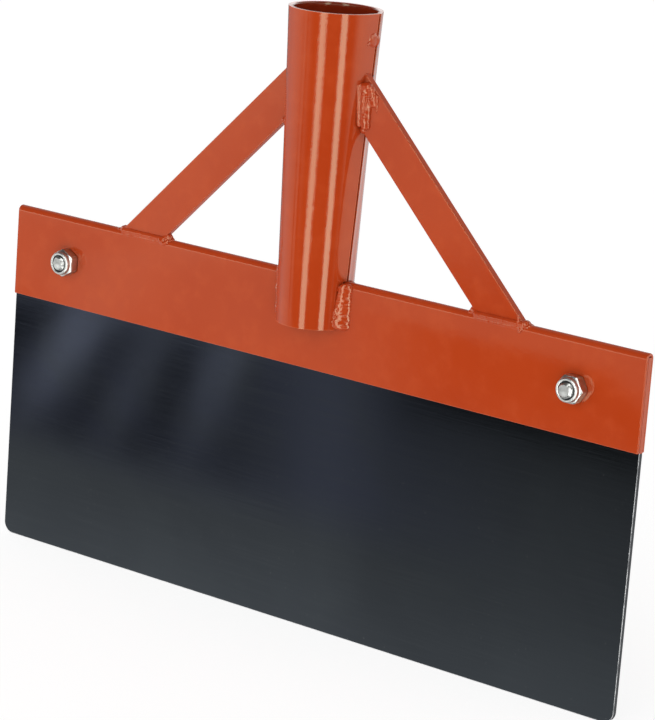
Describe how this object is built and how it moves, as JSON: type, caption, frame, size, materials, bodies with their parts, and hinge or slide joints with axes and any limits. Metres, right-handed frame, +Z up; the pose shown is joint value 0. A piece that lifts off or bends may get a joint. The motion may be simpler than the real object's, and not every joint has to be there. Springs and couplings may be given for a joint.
{
  "type": "floor scraper head",
  "caption": "Wide flat steel scraper blade clamped in a folded sheet holder, with a braced tapered socket above it for a long handle.",
  "frame": {"origin": "middle of the blade's working edge", "axes": "+Z up the handle socket, away from the working edge; +X along the blade; -Y is the front, where the lock nuts are"},
  "size_m": [0.3, 0.0354, 0.239],
  "materials": {
    "paint": "gloss orange-red enamel over mild steel",
    "blued_steel": "blue-black tempered spring steel, fine grain along the blade",
    "zinc": "bright zinc plate",
    "nylon": "dark nylon"
  },
  "bodies": {
    "root": {"blade": "blued_steel", "blade_holder": "paint", "handle_socket": "paint", "brace_left": "paint", "brace_right": "paint", "bolt_left": "zinc", "bolt_right": "zinc", "nut_left": "zinc", "nut_right": "zinc", "nut_insert_left": "nylon", "nut_insert_right": "nylon", "weld_holder_front_left": "paint", "weld_holder_front_right": "paint", "weld_holder_back_left": "paint", "weld_holder_back_right": "paint", "weld_socket_brace_front_left": "paint", "weld_socket_brace_front_right": "paint", "weld_socket_brace_back_left": "paint", "weld_socket_brace_back_right": "paint", "weld_foot_front_left": "paint", "weld_foot_front_right": "paint", "weld_foot_back_left": "paint", "weld_foot_back_right": "paint", "weld_seam_tack": "paint"}
  },
  "joints": []
}
